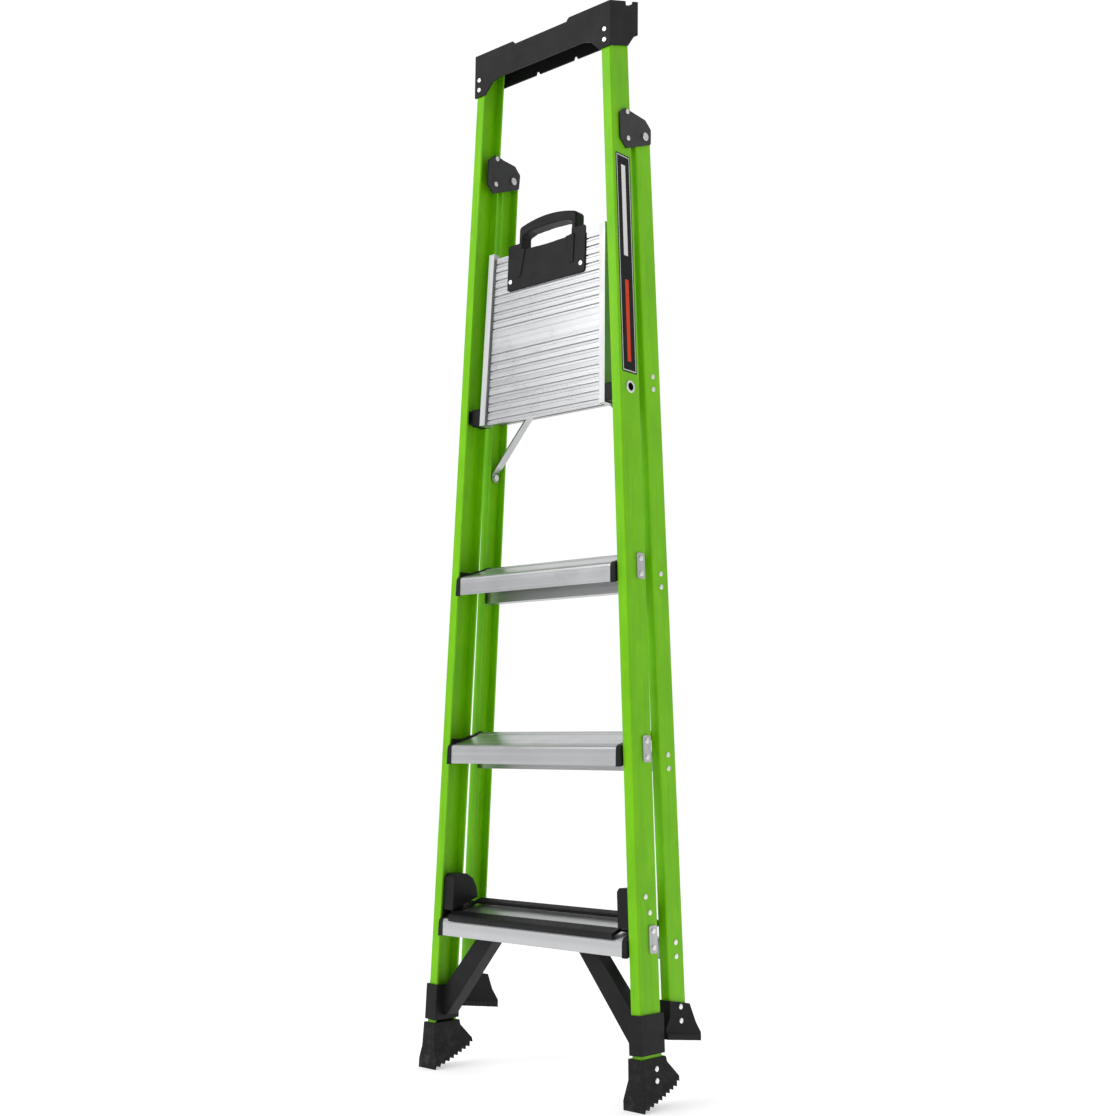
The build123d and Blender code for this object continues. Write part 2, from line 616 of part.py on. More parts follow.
# the inner plate has the same outline; its rear half is cranked towards the rear rail
with BuildPart() as hinge_plate_inner:
    prism(WEB.offset(CRANK - HINGE_INSET), on_web(plate_outline), -HINGE_PLATE - CRANK, PLATE_CORNER_R)
    prism(WEB.offset(-HINGE_INSET), plate_zone(0, CRANK_LINE), 2 * CRANK, mode=Mode.SUBTRACT)
    prism(WEB.offset(CRANK - PLATE_BACK), plate_zone(CRANK_LINE, 120), -2 * CRANK, mode=Mode.SUBTRACT)
    drill(WEB.offset(-HINGE_INSET), on_web(HINGE_RIVETS), HOLE_R, 1.0, HINGE_PLATE + 4.0)
    shaft(hinge_x - 34.0, hinge_x - 12.0, HINGE_PIN_R + 0.1, Mode.SUBTRACT, HINGE)
save_pair(hinge_plate_inner.part, "hinge_plate_inner")

TAIL_HEIGHT = 1.5  # the rivets' inner ends are pressed into rings
with BuildPart() as plate_rivets:
    add(rivet_group(WEB, on_web(HINGE_RIVETS), HINGE_PLATE, HINGE_PLATE + PLATE_BACK + TAIL_HEIGHT))
    with BuildSketch(WEB.offset(-PLATE_BACK)):
        with Locations(*on_web(HINGE_RIVETS)):
            Circle(RIVET_HEAD_R)
    extrude(amount=-TAIL_HEIGHT)
    drill(WEB, on_web(HINGE_RIVETS), 1.3, -PLATE_BACK - TAIL_HEIGHT + 1.2, 3.0)
with BuildPart() as hinge_rivets:
    add(plate_rivets.part)
    mirror(plate_rivets.part, about=Plane.YZ)
save(hinge_rivets.part, "hinge_rivets")

with BuildPart() as hinge_pin:
    shaft(hinge_x - 26.8, hinge_x + 6.5, HINGE_PIN_R, at=HINGE)
    shaft(hinge_x + HINGE_PLATE + 0.6, hinge_x + 7.4, 7.5, at=HINGE)
    shaft(hinge_x - 26.0, hinge_x - 23.8, 7.0, at=HINGE)
    fillet(hinge_pin.faces().sort_by(Axis.X)[-1].edges(), 1.4)
    shaft(hinge_x - 28.0, hinge_x - 25.0, 1.6, Mode.SUBTRACT, HINGE)
save_pair(hinge_pin.part, "hinge_pin")

# ---------------------------------------------------------------------------
# Pivot eyelets: tubes through the front rails that carry the platform
# ---------------------------------------------------------------------------
pivot_x = half_width(PIVOT_HEIGHT)
with BuildPart() as pivot_eyelet:
    shaft(141.0, pivot_x + 1.6, PIVOT_TUBE_R, at=DECK_PIVOT)
    with BuildSketch(WEB):
        with Locations(*on_web([DECK_PIVOT])):
            Circle(11.0)
    extrude(amount=2.0)
    fillet(pivot_eyelet.faces().sort_by(Axis.X)[-1].edges(), 0.8)
    shaft(135.0, pivot_x + 8.0, PIVOT_BORE_R, Mode.SUBTRACT, DECK_PIVOT)
save_pair(pivot_eyelet.part, "pivot_eyelet")

# ---------------------------------------------------------------------------
# Cue on the lowest tread: a sprung pad, held by a housing at each end
# ---------------------------------------------------------------------------
CUE_HALF = half_width(step_height(0))
HOUSING_INNER, HOUSING_OUTER, HOUSING_WALL = 45.0, 20.3, 3.0
SHELF_TOP, POST_P, POST_INSET, POST_R, POST_HEAD_R = 15.0, 34.0, 36.0, 2.8, 5.5
PAD_HALF = CUE_HALF - 47.6
POST_TOP = 40.0
lobe = [(4.5, 279.5), (4.5, 337), (10, 343), (36, 343), (52, 334), (62, 318), (66, 303), (66, 300)]
lobe_room = [(7.6, 284.3), (7.6, 335.8), (11.2, 340), (35.2, 340), (50, 331.6), (59.3, 316.5)]
lobe_room += [(62.7, 302.6)]
CUE_PLANE = tread_plane(0)
# Seen from above the pad: local X to the right, Y backwards along the tread.
CUE_TOP = Plane(
    origin=CUE_PLANE.origin, x_dir=(1, 0, 0), z_dir=(0, -sin(tilt), cos(tilt))
)
with BuildPart() as cue_housing:
    prism(WEB.offset(-HOUSING_OUTER), on_web(lobe), HOUSING_OUTER - HOUSING_INNER)
    prism(
        WEB.offset(-HOUSING_OUTER - HOUSING_WALL),
        on_web(lobe_room),
        HOUSING_OUTER - HOUSING_INNER + 2 * HOUSING_WALL,
        mode=Mode.SUBTRACT,
    )
    fillet(cue_housing.edges().filter_by(GeomType.LINE).group_by(Axis.X)[0], 1.2)
    drill(CUE_TOP, [(CUE_HALF - POST_INSET, POST_P)], POST_R + 0.4, SHELF_TOP + 3.0, 20.0)
    drill(WEB, on_web(CUE_RIVETS), HOLE_R, -HOUSING_OUTER + 1.0, HOUSING_WALL + 1.5)
save_pair(cue_housing.part, "cue_housing")

lobe_rivets = rivet_group(WEB, on_web(CUE_RIVETS), 0.0, HOUSING_OUTER + HOUSING_WALL)
with BuildPart() as cue_rivets:
    add(lobe_rivets)
    mirror(lobe_rivets, about=Plane.YZ)
save(cue_rivets.part, "cue_rivets")

with BuildPart() as cue_pad:
    front_strip = [(-13.3, -3.5), (-13.3, 3.2), (-10.8, 6.2), (-7.5, 7), (9, 7), (14, 5.4), (14, 0.3)]
    front_strip += [(-11.3, 0.3), (-11.3, -3.5)]
    prism(CUE_PLANE, front_strip, PAD_HALF)
    prism(CUE_PLANE, [(60, 0.3), (60, 5.4), (62, 6), (75, 6), (77, 4), (77, 0.3)], PAD_HALF)
    with BuildSketch(CUE_PLANE):
        for i in range(5):
            with Locations((-5.0 + 3.6 * i, 7.0), (62.5 + 3.0 * i, 6.0)):
                Rectangle(1.2, 1.2)
    extrude(amount=PAD_HALF - 3.5, mode=Mode.SUBTRACT)
    with BuildSketch(CUE_TOP.offset(0.3)):
        with Locations((CUE_HALF - 41.0, 37.0)):
            Rectangle(21.6, 50.0)
    extrude(amount=4.0)
    with BuildSketch(CUE_TOP.offset(2.0)):
        with Locations((CUE_HALF - POST_INSET, POST_P)):
            Circle(POST_R)
    extrude(amount=POST_TOP - 2.0)
    with BuildSketch(CUE_TOP.offset(POST_TOP - 4.0)):
        with Locations((CUE_HALF - POST_INSET, POST_P)):
            Circle(POST_HEAD_R)
    extrude(amount=4.0)
    mirror(about=Plane.YZ)
save(cue_pad.part, "cue_pad")

SPRING_R, SPRING_WIRE = 4.0, 0.6
spring_base = SHELF_TOP + SPRING_WIRE
spring_length = POST_TOP - 4.0 - SHELF_TOP - 2 * SPRING_WIRE
post_foot = CUE_TOP.offset(spring_base).from_local_coords((CUE_HALF - POST_INSET, POST_P, 0))
with BuildPart() as cue_springs:
    with BuildLine() as coil:
        Helix(spring_length / 5.0, spring_length, SPRING_R, center=post_foot, direction=CUE_TOP.z_dir)
    with BuildSketch(Plane(origin=coil.line @ 0, z_dir=coil.line % 0)):
        Circle(SPRING_WIRE)
    sweep(path=coil.line)
    mirror(about=Plane.YZ)
save(cue_springs.part, "cue_springs")

# ---------------------------------------------------------------------------
# Platform: two ribbed planks between side rails, narrowing towards the rear
# ---------------------------------------------------------------------------
PLANK_SEAM, BAND_HALF = 141.0, 10.0
PLANK_REAR = 296.0
PLANK_END_GAP = 2.0
DECK_NARROWING = (PLATFORM_HALF_FRONT - PLATFORM_HALF_REAR) / (PLATFORM_REAR - PLATFORM_FRONT)


def deck_half(along):
    """Outer face of the platform's side rails from the middle plane."""
    return PLATFORM_HALF_FRONT - DECK_NARROWING * (along - PLATFORM_FRONT)


def plank(start, end, first_groove):
    """A plank with deep and shallow grooves running across it."""
    gap = SIDE_RAIL_WIDTH + PLANK_END_GAP
    corners = [
        (-deck_half(start) + gap, start),
        (deck_half(start) - gap, start),
        (deck_half(end) - gap, end),
        (-deck_half(end) + gap, end),
    ]
    with BuildPart() as board:
        prism(DECK.offset(DECK_UNDER), corners, DECK_TOP - DECK_UNDER)
        with BuildSketch(DECK_SIDE):
            for i in range(9):
                along = first_groove + i * RIB_PITCH
                with Locations((along, DECK_TOP)):
                    Rectangle(3.2, 6.0)
                with Locations((along - 5.5, DECK_TOP)):
                    Rectangle(1.2, 2.0)
        extrude(amount=deck_half(start), both=True, mode=Mode.SUBTRACT)
    return board.part


save(plank(PLATFORM_FRONT, PLANK_SEAM - CLEAR, -15.0), "platform_plank_front")
save(plank(PLANK_SEAM, PLANK_REAR, PLANK_SEAM + BAND_HALF + 8.0), "platform_plank_rear")

SIDE_RAIL_RAISED_FROM = 239.0  # here the side rails come down on the top brace
with BuildPart() as platform_side_rail:
    corners = [
        (deck_half(PLATFORM_FRONT), PLATFORM_FRONT),
        (deck_half(PLATFORM_REAR), PLATFORM_REAR),
        (deck_half(PLATFORM_REAR) - SIDE_RAIL_WIDTH, PLATFORM_REAR),
        (deck_half(PLATFORM_FRONT) - SIDE_RAIL_WIDTH, PLATFORM_FRONT),
    ]
    prism(DECK.offset(PLATFORM_UNDER), corners, PLATFORM_TOP - PLATFORM_UNDER)
    rail_side = [
        (PLATFORM_FRONT, -4.0),
        (-16.0, PLATFORM_UNDER),
        (SIDE_RAIL_RAISED_FROM - 14.0, PLATFORM_UNDER),
        (SIDE_RAIL_RAISED_FROM, DECK_UNDER),
        (PLATFORM_REAR, DECK_UNDER),
        (PLATFORM_REAR, PLATFORM_TOP),
        (PLATFORM_FRONT, PLATFORM_TOP),
    ]
    prism(DECK_SIDE, rail_side, 200.0, mode=Mode.INTERSECT)
    shaft(130.0, 156.0, PIVOT_TUBE_R + 0.05, Mode.SUBTRACT, DECK_PIVOT)
save_pair(platform_side_rail.part, "platform_side_rail")

BLOCK_OUTER, BOSS_OUTER, BOSS_R = 173.0, 188.5, 14.0
with BuildPart() as pivot_block:
    corners = [(deck_half(-21), -21), (BLOCK_OUTER, -21), (BLOCK_OUTER, 11), (deck_half(11), 11)]
    prism(DECK.offset(-15.0), corners, 30.0)
    chamfer(pivot_block.edges().filter_by(Axis.X), 2.0)
    shaft(BLOCK_OUTER - 1.0, BOSS_OUTER, BOSS_R, at=DECK_PIVOT)
    shaft(140.0, 195.0, PIVOT_TUBE_R + 0.05, Mode.SUBTRACT, DECK_PIVOT)
save_pair(pivot_block.part, "platform_pivot_block")

HANDLE_HALF, HANDLE_FRONT, HANDLE_END = 95.0, 224.0, 312.0
HANDLE_PLATE = 3.0
GRIP_HALF, GRIP_TOP, GRIP_ARC_R, SHOULDER_R = 70.0, 354.5, 227.0, 8.0
GRIP_BOTTOM, GRIP_UNDER, GRIP_OVER, GRIP_ROUND = PLANK_REAR + CLEAR, -12.0, 13.0, 4.0
window = [(-61, 299), (-61, 326), (-45, 332), (0, 334), (45, 332), (61, 326), (61, 299), (0, 296.8)]
PILLAR_TOP = 17.0
pillar = [(70, 300), (69, 247), (60, 247), (50, 300)]
with BuildPart() as handle:
    with BuildSketch(DECK.offset(GRIP_UNDER)) as grip:
        with Locations((0, (GRIP_BOTTOM + GRIP_TOP) / 2)):
            Rectangle(2 * GRIP_HALF, GRIP_TOP - GRIP_BOTTOM)
        with Locations((0, GRIP_TOP - GRIP_ARC_R)):
            Circle(GRIP_ARC_R, mode=Mode.INTERSECT)
        fillet(grip.vertices().sort_by(Axis.Y)[-2:], SHOULDER_R)
    extrude(amount=GRIP_OVER - GRIP_UNDER)
    fillet(handle.edges().filter_by(GeomType.CIRCLE), GRIP_ROUND)
    with BuildSketch(DECK.offset(DECK_TOP)):
        with Locations((0, (HANDLE_FRONT + HANDLE_END) / 2)):
            RectangleRounded(2 * HANDLE_HALF, HANDLE_END - HANDLE_FRONT, 6)
    extrude(amount=HANDLE_PLATE)
    # the grip's two sides run down over the plate as raised pillars
    for side in (-1, 1):
        prism(DECK.offset(DECK_TOP), [(side * x, a) for x, a in pillar], PILLAR_TOP - DECK_TOP, 2.0)
    # teeth under the plate's ends sit in the deck's grooves
    with BuildSketch(DECK.offset(DECK_TOP - 2.6)):
        for i in range(5, 9):
            tooth = PLANK_SEAM + BAND_HALF + 8.0 + i * RIB_PITCH
            with Locations((4.0 - HANDLE_HALF, tooth), (HANDLE_HALF - 4.0, tooth)):
                Rectangle(8.0, 2.6)
    extrude(amount=3.0)
    # the window goes through the grip and the plate alike
    prism(DECK.offset(GRIP_UNDER - 1.0), window, PILLAR_TOP - GRIP_UNDER + 2.0, 3.0, Mode.SUBTRACT)
    drill(DECK, HANDLE_RIVETS, HOLE_R, PLATFORM_TOP, 8.0)
save(handle.part, "platform_handle")
save(rivet_group(DECK, HANDLE_RIVETS, DECK_TOP + HANDLE_PLATE, HANDLE_PLATE), "handle_rivets")

CHEEK_HALF, CHEEK_THICK = 10.0, 3.0
with BuildPart() as strut_bracket:
    cheek = [(STRUT_ALONG - 16, DECK_UNDER), (STRUT_ALONG + 16, DECK_UNDER)]
    cheek += [(STRUT_ALONG + 8, -STRUT_DROP), (STRUT_ALONG - 8, -STRUT_DROP)]
    prism(DECK_SIDE.offset(-CHEEK_HALF), cheek, 2 * CHEEK_HALF)
    with BuildSketch(DECK_SIDE.offset(-CHEEK_HALF)):
        with Locations((STRUT_ALONG, -STRUT_DROP)):
            Circle(8.0)
    extrude(amount=2 * CHEEK_HALF)
    with BuildSketch(DECK_SIDE.offset(CHEEK_THICK - CHEEK_HALF)):
        with Locations((STRUT_ALONG, -STRUT_DROP - 10.0 + DECK_UNDER)):
            Rectangle(60.0, 2 * STRUT_DROP + 14.0)
    extrude(amount=2 * (CHEEK_HALF - CHEEK_THICK), mode=Mode.SUBTRACT)
    with BuildSketch(DECK_SIDE.offset(-CHEEK_HALF)):
        with Locations((STRUT_ALONG, DECK_UNDER - 1.25)):
            Rectangle(32.0, 2.5)
    extrude(amount=2 * CHEEK_HALF)
    with BuildSketch(DECK_SIDE.offset(-CHEEK_HALF - 1.0)):
        with Locations((STRUT_ALONG, -STRUT_DROP)):
            Circle(4.1)
    extrude(amount=2 * CHEEK_HALF + 2.0, mode=Mode.SUBTRACT)
save(strut_bracket.part, "strut_bracket")

# ---------------------------------------------------------------------------
# Struts: flat bars from the rear rails up to the middle of the platform
# ---------------------------------------------------------------------------
deck_y, deck_z = cos(lean), -sin(lean)
strut_top = (
    PIVOT_DEPTH + STRUT_ALONG * sin(lean) + STRUT_DROP * deck_y,
    PIVOT_HEIGHT + STRUT_ALONG * cos(lean) + STRUT_DROP * deck_z,
)
run_y, run_z = strut_top[0] - STRUT_FOOT_DEPTH, strut_top[1] - STRUT_FOOT_HEIGHT
STRUT_LENGTH = hypot(run_y, run_z)
STRUT_TIP_R = 7.5
# Along a strut: local X to the right, Y from its lower pivot to its upper one.
STRUT = Plane(
    origin=(0, FRONT_Y + STRUT_FOOT_DEPTH, STRUT_FOOT_HEIGHT),
    x_dir=(1, 0, 0),
    z_dir=(0, -run_z, run_y),
)
STRUT_GAP = 1.2  # between a strut and the leaning web beside it
foot_x = strut_x - REAR_WALL - STRUT_GAP - STRUT_THICK / 2
tip_x = CHEEK_HALF + 0.5 + STRUT_THICK / 2
with BuildPart() as strut:
    with BuildSketch(STRUT.offset(-STRUT_WIDTH / 2)):
        with BuildLine():
            Polyline(
                (foot_x, -10),
                (foot_x, 8),
                (tip_x, STRUT_LENGTH - 18),
                (tip_x, STRUT_LENGTH + 10),
            )
        trace(line_width=STRUT_THICK)
    extrude(amount=STRUT_WIDTH)
    with BuildSketch(SIDE):
        with Locations(STRUT_FOOT):
            Circle(STRUT_WIDTH / 2)
        with Locations(strut_top):
            Circle(STRUT_TIP_R)
        make_hull()
    extrude(amount=210.0, mode=Mode.INTERSECT)
    shaft(foot_x - 4.0, foot_x + 4.0, 4.1, Mode.SUBTRACT, STRUT_FOOT)
    shaft(tip_x - 4.0, tip_x + 4.0, 4.1, Mode.SUBTRACT, strut_top)
save_pair(strut.part, "strut")

with BuildPart() as strut_pins:
    shaft(foot_x - 2.6, strut_x - STRUT_PIN_SKIN, 4.05, at=STRUT_FOOT)
    shaft(foot_x - 4.2, foot_x - 2.2, 6.0, at=STRUT_FOOT)
    mirror(about=Plane.YZ)
save(strut_pins.part, "strut_pins")

# ---------------------------------------------------------------------------
# Top cap: a tray over both front rails, level when the ladder stands open
# ---------------------------------------------------------------------------
CAP_HALF, CAP_WALL, CAP_SIDE = 168.0, 3.5, 2.5
CAP_REAR = 75.0
CAP_RISE = 27.0  # the cap's rear rim stands this much higher than its front one
RIM_RISE = CAP_RISE / (CAP_REAR + CAP_WALL)
FLOOR_UNDER, FLOOR_THICK = 1869.5, 3.0


def rim(depth, drop=0.0):
    """A point on the cap's rim, or on a line below it."""
    return depth, HEIGHT + RIM_RISE * (depth + CAP_WALL) - drop


cap_front = [
    (-CAP_HALF, HEIGHT), (-CAP_HALF, 1796), (-142, 1796), (-122, 1816), (-105, 1821),
    (105, 1821), (122, 1816), (142, 1796), (CAP_HALF, 1796), (CAP_HALF, HEIGHT),
    (70, HEIGHT), (64, 1873.5), (-64, 1873.5), (-70, HEIGHT),
]
cap_side = [(-CAP_WALL, 1796), (48, 1813.5), (CAP_REAR, 1852), rim(CAP_REAR)]
cap_side += [rim(61), rim(60, 8.0), rim(41, 8.0), rim(40), rim(-CAP_WALL)]
cap_rear = [
    (-CAP_HALF, 1843), (-80, 1843), (-78, 1849), (-72, 1849), (-70, 1843), (16, 1843), (18, 1849),
    (24, 1849), (26, 1843), (CAP_HALF, 1843), (CAP_HALF, 1906), (-CAP_HALF, 1906),
]
cap_places = CAP_RIVETS + [(-x, z) for x, z in CAP_RIVETS]
with BuildPart() as top_cap:
    prism(FACE, cap_front, CAP_WALL)
    prism(SIDE.offset(CAP_HALF - CAP_SIDE), cap_side, CAP_SIDE)
    prism(SIDE.offset(-CAP_HALF), cap_side, CAP_SIDE)
    prism(FACE.offset(-CAP_REAR + 3.0), cap_rear, -3.0)
    floor_line = [rim(-1.0, HEIGHT - FLOOR_UNDER - 3.0), rim(CAP_REAR - 1.0, HEIGHT - FLOOR_UNDER - 3.0)]
    floor_line += [rim(CAP_REAR - 1.0, HEIGHT - FLOOR_UNDER), rim(-1.0, HEIGHT - FLOOR_UNDER)]
    prism(SIDE.offset(1.0 - CAP_HALF), floor_line, 2 * CAP_HALF - 2.0)
    drill(FACE, cap_places, HOLE_R, CAP_WALL + 1.0, 2 * CAP_WALL)
save(top_cap.part, "top_cap")
save(rivet_group(FACE, cap_places, CAP_WALL, CAP_WALL + RAIL_WALL + 2.0), "top_cap_rivets")

# ---------------------------------------------------------------------------
# Label on the right-hand front rail
# ---------------------------------------------------------------------------
with BuildPart() as rail_label:
    with BuildSketch(WEB):
        with Locations(((6.4 + 45.4) / 2, rise((1204.5 + 1601.5) / 2))):
            RectangleRounded(39.0, 397.0, 2.0)
    extrude(amount=0.4)
save(rail_label.part, "rail_label")
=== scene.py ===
import json
import math

import bmesh
import bpy
from mathutils import Matrix, Vector


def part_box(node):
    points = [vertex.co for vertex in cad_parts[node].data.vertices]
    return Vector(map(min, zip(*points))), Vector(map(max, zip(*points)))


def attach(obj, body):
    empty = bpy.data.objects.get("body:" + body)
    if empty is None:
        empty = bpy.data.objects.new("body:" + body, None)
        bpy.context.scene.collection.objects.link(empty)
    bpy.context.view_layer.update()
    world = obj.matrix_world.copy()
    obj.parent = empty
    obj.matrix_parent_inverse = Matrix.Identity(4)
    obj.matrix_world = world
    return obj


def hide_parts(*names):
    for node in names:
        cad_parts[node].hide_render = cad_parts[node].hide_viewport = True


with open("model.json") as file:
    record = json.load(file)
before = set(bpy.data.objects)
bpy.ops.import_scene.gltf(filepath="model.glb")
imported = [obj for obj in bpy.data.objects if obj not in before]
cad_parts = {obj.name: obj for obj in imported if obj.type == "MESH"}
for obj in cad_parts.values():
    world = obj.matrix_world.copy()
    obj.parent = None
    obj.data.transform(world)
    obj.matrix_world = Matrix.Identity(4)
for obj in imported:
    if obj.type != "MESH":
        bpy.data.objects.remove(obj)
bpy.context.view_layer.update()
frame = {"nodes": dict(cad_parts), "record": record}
nodes = frame["nodes"]
body_of = {n: b for b, ns in frame["record"]["behaviour"]["bodies"].items() for n in ns}

# ---------------------------------------------------------------------------
# Camera: low, in front of the ladder and to its right
# ---------------------------------------------------------------------------
YAW, PITCH, ROLL = math.radians(42.02), math.radians(7.638), math.radians(0.654)
SENSOR, FOCAL_SHARE = 36.0, 1497.0 / 1116.0
CAMERA_PLACE = (1.7763, -1.9782, 0.5486)

ahead = Vector((-math.sin(YAW) * math.cos(PITCH), math.cos(YAW) * math.cos(PITCH), math.sin(PITCH)))
level = Vector((math.cos(YAW), math.sin(YAW), 0.0))
upright = level.cross(ahead)
right = level * math.cos(ROLL) + upright * math.sin(ROLL)
up = upright * math.cos(ROLL) - level * math.sin(ROLL)

camera = bpy.data.objects.new("camera", bpy.data.cameras.new("camera"))
bpy.context.scene.collection.objects.link(camera)
camera.data.sensor_width = SENSOR
camera.data.lens = SENSOR * FOCAL_SHARE
camera.data.clip_end = 100.0
turn = Matrix((right, up, -ahead)).transposed().to_4x4()
camera.matrix_world = Matrix.Translation(CAMERA_PLACE) @ turn
bpy.context.scene.camera = camera
bpy.context.scene.view_settings.view_transform = "Standard"


# ---------------------------------------------------------------------------
# Materials: every pattern is in the ladder's own metres, so it has real scale
# ---------------------------------------------------------------------------
class Surface:
    """One material, with short calls for the nodes that it is made of."""

    def __init__(self, name, metallic=0.0, **constants):
        self.material = bpy.data.materials.new(name)
        self.material.use_nodes = True
        self.tree = self.material.node_tree
        self.shader = self.tree.nodes["Principled BSDF"]
        self.shader.inputs["Metallic"].default_value = metallic
        for socket, value in constants.items():
            self.shader.inputs[socket.replace("_", " ")].default_value = value
        self.place = self.tree.nodes.new("ShaderNodeTexCoord").outputs["Object"]

    def node(self, kind, links=(), **settings):
        made = self.tree.nodes.new(kind)
        for key, value in settings.items():
            setattr(made, key, value)
        for socket, source in links:
            if isinstance(source, bpy.types.NodeSocket):
                self.tree.links.new(source, made.inputs[socket])
            else:
                made.inputs[socket].default_value = source
        return made

    def stretched(self, x, y, z):
        """The place, scaled by so much along each axis."""
        links = [("Vector", self.place), ("Scale", (x, y, z))]
        return self.node("ShaderNodeMapping", links).outputs["Vector"]

    def noise(self, vector, scale=1.0, detail=4.0, rough=0.55, distortion=0.0):
        links = [("Vector", vector), ("Scale", scale), ("Detail", detail)]
        links += [("Roughness", rough), ("Distortion", distortion)]
        return self.node("ShaderNodeTexNoise", links).outputs["Fac"]

    def cells(self, vector, scale):
        links = [("Vector", vector), ("Scale", scale)]
        return self.node("ShaderNodeTexVoronoi", links).outputs["Distance"]

    def spread(self, value, low, high, out_low, out_high):
        """A value between low and high carried over to another range."""
        links = [("Value", value), ("From Min", low), ("From Max", high)]
        links += [("To Min", out_low), ("To Max", out_high)]
        return self.node("ShaderNodeMapRange", links).outputs["Result"]

    def sum(self, a, b, operation="ADD"):
        return self.node("ShaderNodeMath", [(0, a), (1, b)], operation=operation).outputs[0]

    def blend(self, share, a, b):
        """Colour a, going over to colour b as share goes from 0 to 1."""
        made = self.node("ShaderNodeMix", [(0, share)], data_type="RGBA")
        for socket, colour in ((6, a), (7, b)):
            if isinstance(colour, bpy.types.NodeSocket):
                self.tree.links.new(colour, made.inputs[socket])
            else:
                made.inputs[socket].default_value = (*colour, 1.0)
        return made.outputs[2]

    def bump(self, height, depth, strength=1.0, below=None):
        links = [("Height", height), ("Distance", depth), ("Strength", strength)]
        if below is not None:
            links.append(("Normal", below))
        return self.node("ShaderNodeBump", links).outputs["Normal"]

    def finish(self, colour, roughness, normal):
        for socket, source in (("Base Color", colour), ("Roughness", roughness), ("Normal", normal)):
            self.tree.links.new(source, self.shader.inputs[socket])
        return self.material


def fibreglass():
    """Pultruded lime green channel: lengthwise fibres under a mottled veil."""
    s = Surface("fibreglass", IOR=1.46, Specular_IOR_Level=0.2, Coat_Weight=0.04, Coat_Roughness=0.35)
    fibres = s.noise(s.stretched(420, 420, 5), detail=3.0)
    strands = s.noise(s.stretched(110, 110, 1.6), detail=3.0, distortion=0.4)
    veil = s.noise(s.stretched(48, 48, 24), detail=6.0, rough=0.65)
    blotches = s.noise(s.stretched(13, 13, 7), detail=3.0)
    base = s.blend(s.spread(blotches, 0.3, 0.7, 0.0, 1.0), (0.160, 0.500, 0.0020), (0.205, 0.600, 0.0030))
    base = s.blend(s.spread(veil, 0.46, 0.72, 0.0, 0.40), base, (0.245, 0.670, 0.0055))
    base = s.blend(s.spread(strands, 0.5, 0.75, 0.0, 0.38), base, (0.115, 0.400, 0.0020))
    base = s.blend(s.spread(fibres, 0.55, 0.8, 0.0, 0.30), base, (0.255, 0.680, 0.0060))
    roughness = s.spread(s.sum(veil, strands), 0.7, 1.3, 0.30, 0.47)
    normal = s.bump(fibres, 0.00012, 0.35)
    normal = s.bump(veil, 0.00035, 0.30, normal)
    return s.finish(base, roughness, normal)


def aluminium(name, stretch, light, dark, roughness, depth=0.00006):
    """Extruded or drawn metal: fine lines along its length and a few scuffs."""
    s = Surface(name, metallic=1.0)
    lines = s.noise(s.stretched(*stretch), detail=3.0, rough=0.7)
    bands = s.noise(s.stretched(*[v * 0.16 for v in stretch]), detail=2.0)
    cloud = s.noise(s.place, 22.0, detail=4.0)
    scuffs = s.noise(s.stretched(310, 190, 260), detail=5.0, rough=0.75, distortion=1.2)
    base = s.blend(s.spread(bands, 0.35, 0.65, 0.0, 0.7), light, dark)
    base = s.blend(s.spread(lines, 0.55, 0.8, 0.0, 0.35), base, dark)
    base = s.blend(s.spread(scuffs, 0.68, 0.8, 0.0, 0.45), base, (0.42, 0.43, 0.45))
    wear = s.sum(s.sum(lines, cloud), scuffs)
    dullness = s.spread(wear, 1.1, 1.9, roughness - 0.07, roughness + 0.12)
    normal = s.bump(lines, depth, 0.5)
    normal = s.bump(scuffs, depth, 0.25, normal)
    return s.finish(base, dullness, normal)


def bright_metal(name, light, dark, roughness):
    """Rivet heads and plated pins: bright, with fine turning marks and dull spots."""
    s = Surface(name, metallic=1.0)
    grain = s.noise(s.place, 900.0, detail=3.0)
    spots = s.noise(s.place, 160.0, detail=4.0, rough=0.7)
    base = s.blend(s.spread(spots, 0.4, 0.75, 0.0, 1.0), light, dark)
    dullness = s.spread(s.sum(grain, spots), 0.7, 1.3, roughness - 0.06, roughness + 0.14)
    return s.finish(base, dullness, s.bump(grain, 0.00003, 0.5))


def moulded(name, light, dark, roughness, grain_size=1500.0, depth=0.00006):
    """Black moulding: a fine spark-eroded grain, rubbed smoother in places."""
    s = Surface(name, IOR=1.48, Specular_IOR_Level=0.16)
    grain = s.cells(s.place, grain_size)
    rubbed = s.noise(s.place, 34.0, detail=5.0, rough=0.6)
    marks = s.noise(s.stretched(240, 420, 140), detail=5.0, rough=0.8, distortion=1.5)
    base = s.blend(s.spread(rubbed, 0.35, 0.7, 0.0, 1.0), dark, light)
    base = s.blend(s.spread(marks, 0.7, 0.82, 0.0, 0.14), base, (0.045, 0.045, 0.047))
    dullness = s.spread(s.sum(rubbed, marks), 0.75, 1.3, roughness + 0.04, roughness - 0.04)
    normal = s.bump(grain, depth, 0.45)
    normal = s.bump(marks, depth, 0.15, normal)
    return s.finish(base, dullness, normal)


